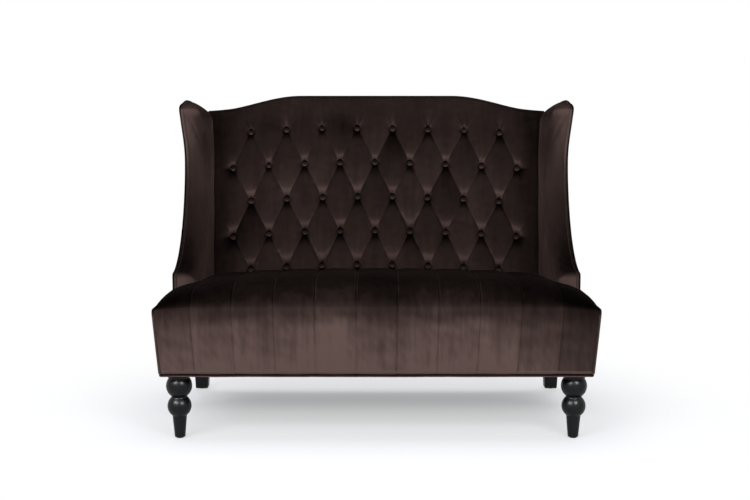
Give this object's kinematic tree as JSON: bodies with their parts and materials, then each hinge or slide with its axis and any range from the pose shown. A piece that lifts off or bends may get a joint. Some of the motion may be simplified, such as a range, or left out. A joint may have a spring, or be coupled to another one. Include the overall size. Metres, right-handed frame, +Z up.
{
  "type": "high-back settee",
  "caption": "High-back settee with padded wings, a camel-topped tufted back, a channelled tight seat, turned front legs and raked rear legs.",
  "frame": {"origin": "on the floor, under the middle of the settee's length and depth", "axes": "+X to the right along the length, as seen from in front; +Y to the rear, so the seat faces -Y; +Z up"},
  "size_m": [1.29, 0.735, 1.0073],
  "materials": {
    "velvet": "dark brown velvet with a changing nap",
    "velvet_trim": "dark brown velvet over a cord",
    "ebony_wood": "black satin lacquer",
    "pine": "planed, unfinished",
    "plywood": "sanded, unfinished",
    "foam": "open-cell foam",
    "steel": "zinc-plated",
    "webbing": "woven elastic webbing",
    "dust_cloth": "thin black cambric",
    "nylon": "matt"
  },
  "bodies": {
    "root": {"right_back_post": "pine", "left_back_post": "pine", "back_top_rail": "plywood", "back_bottom_rail": "pine", "right_back_upright": "pine", "left_back_upright": "pine", "back_web_1": "webbing", "back_web_2": "webbing", "back_web_3": "webbing", "back_web_4": "webbing", "back_foam": "foam", "tufted_back_cover": "velvet", "outer_back_panel": "velvet", "right_front_leg": "ebony_wood", "left_front_leg": "ebony_wood", "right_rear_leg": "ebony_wood", "left_rear_leg": "ebony_wood", "right_front_leg_bolt": "steel", "left_front_leg_bolt": "steel", "right_rear_leg_bolt": "steel", "left_rear_leg_bolt": "steel", "right_front_glide": "nylon", "left_front_glide": "nylon", "right_rear_glide": "nylon", "left_rear_glide": "nylon", "front_seat_rail": "pine", "rear_seat_rail": "pine", "right_seat_rail": "pine", "left_seat_rail": "pine", "right_back_bolt": "steel", "left_back_bolt": "steel", "right_front_corner_block": "pine", "left_front_corner_block": "pine", "right_rear_corner_block": "pine", "left_rear_corner_block": "pine", "centre_brace": "pine", "seat_spring_1": "steel", "seat_spring_2": "steel", "seat_spring_3": "steel", "seat_spring_4": "steel", "seat_spring_5": "steel", "seat_spring_6": "steel", "seat_spring_7": "steel", "dust_cover": "dust_cloth", "seat_cover": "velvet", "seat_foam": "foam", "right_side_boxing": "velvet", "left_side_boxing": "velvet", "right_seat_welt": "velvet_trim", "left_seat_welt": "velvet_trim", "base_hem": "velvet_trim", "right_wing_frame": "plywood", "left_wing_frame": "plywood", "right_wing_pad": "velvet", "left_wing_pad": "velvet", "right_wing_outer_panel": "velvet", "left_wing_outer_panel": "velvet", "right_wing_welt": "velvet_trim", "left_wing_welt": "velvet_trim"}
  },
  "joints": []
}
